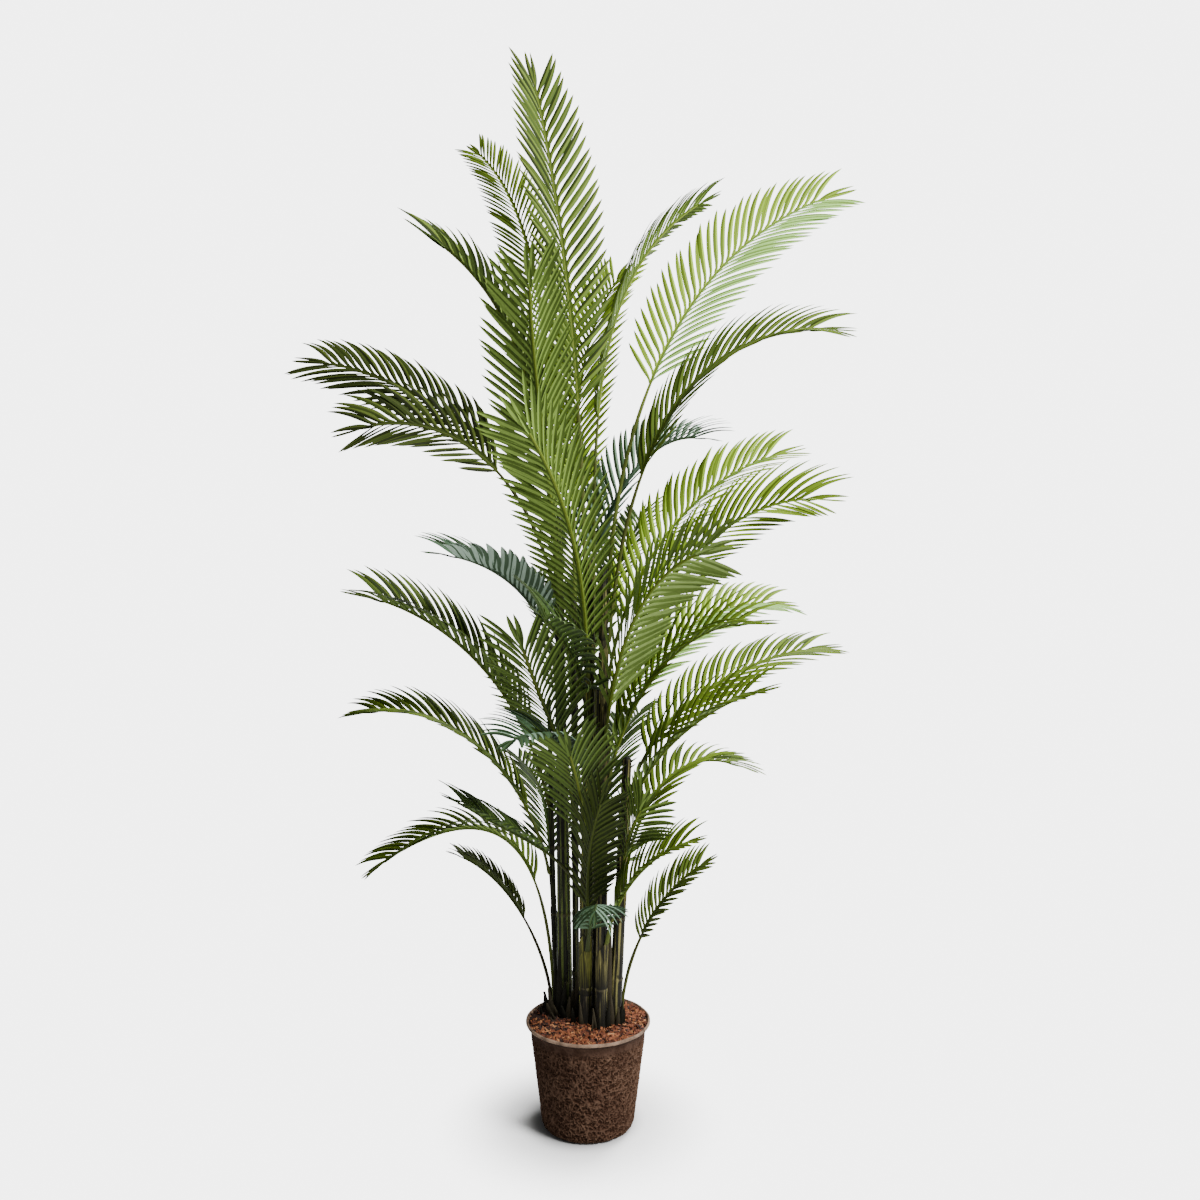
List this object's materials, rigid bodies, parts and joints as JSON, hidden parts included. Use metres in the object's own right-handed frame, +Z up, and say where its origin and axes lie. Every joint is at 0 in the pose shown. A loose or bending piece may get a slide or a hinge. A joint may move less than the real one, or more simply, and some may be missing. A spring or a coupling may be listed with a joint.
{
  "type": "artificial areca palm in a pot",
  "caption": "Tall artificial areca palm: slender dark canes with arching feathered fronds, standing in a small dark pressed-fibre pot filled with bark crumble.",
  "frame": {"origin": "middle of the flat underside of the pot", "axes": "+Z up along the plant's height, -Y towards the viewer of the picture, +X to the viewer's right"},
  "size_m": [1.1916, 1.0528, 2.0985],
  "materials": {
    "pot": "rough dark brown pressed fibre with a tan rim",
    "fill": "reddish brown bark crumble",
    "cane": "dark brown and olive, ringed, satin",
    "leaf_mid": "satin printed leaf, mid green",
    "leaf_deep": "satin printed leaf, deep green",
    "leaf_lime": "satin printed leaf, light yellowish green",
    "leaf_olive": "satin printed leaf, dark olive green",
    "leaf_blue": "satin printed leaf, bluish green"
  },
  "bodies": {
    "root": {"cane_1": "cane", "cane_2": "cane", "cane_3": "cane", "cane_4": "cane", "cane_5": "cane", "cane_6": "cane", "cane_7": "cane", "frond_01": "leaf_mid", "frond_02": "leaf_mid", "frond_03": "leaf_mid", "frond_04": "leaf_mid", "frond_05": "leaf_mid", "frond_06": "leaf_lime", "frond_07": "leaf_deep", "frond_08": "leaf_olive", "frond_09_blade": "leaf_olive", "frond_09_stalk": "leaf_olive", "frond_10": "leaf_mid", "frond_11": "leaf_blue", "frond_12": "leaf_lime", "frond_13": "leaf_lime", "frond_14": "leaf_lime", "frond_15": "leaf_mid", "frond_16": "leaf_lime", "frond_17": "leaf_mid", "frond_18": "leaf_deep", "frond_19_blade": "leaf_deep", "frond_19_stalk": "leaf_deep", "frond_20": "leaf_mid", "frond_21": "leaf_blue", "frond_22": "leaf_deep", "frond_23": "leaf_mid", "frond_24_blade": "leaf_deep", "frond_24_stalk": "leaf_deep", "frond_25": "leaf_deep", "frond_26_blade": "leaf_mid", "frond_26_stalk": "leaf_mid", "frond_27": "leaf_olive", "frond_28": "leaf_mid", "frond_29": "leaf_mid", "frond_30_blade": "leaf_blue", "frond_30_stalk": "leaf_blue", "frond_31": "leaf_mid", "frond_32": "leaf_mid", "frond_33": "leaf_blue", "frond_34": "leaf_deep", "frond_35": "leaf_lime", "frond_36": "leaf_deep", "frond_37": "leaf_deep", "frond_38": "leaf_deep", "frond_39": "leaf_deep", "frond_40": "leaf_deep", "frond_41": "leaf_deep", "pot": "pot", "potting_fill": "fill"}
  },
  "joints": []
}
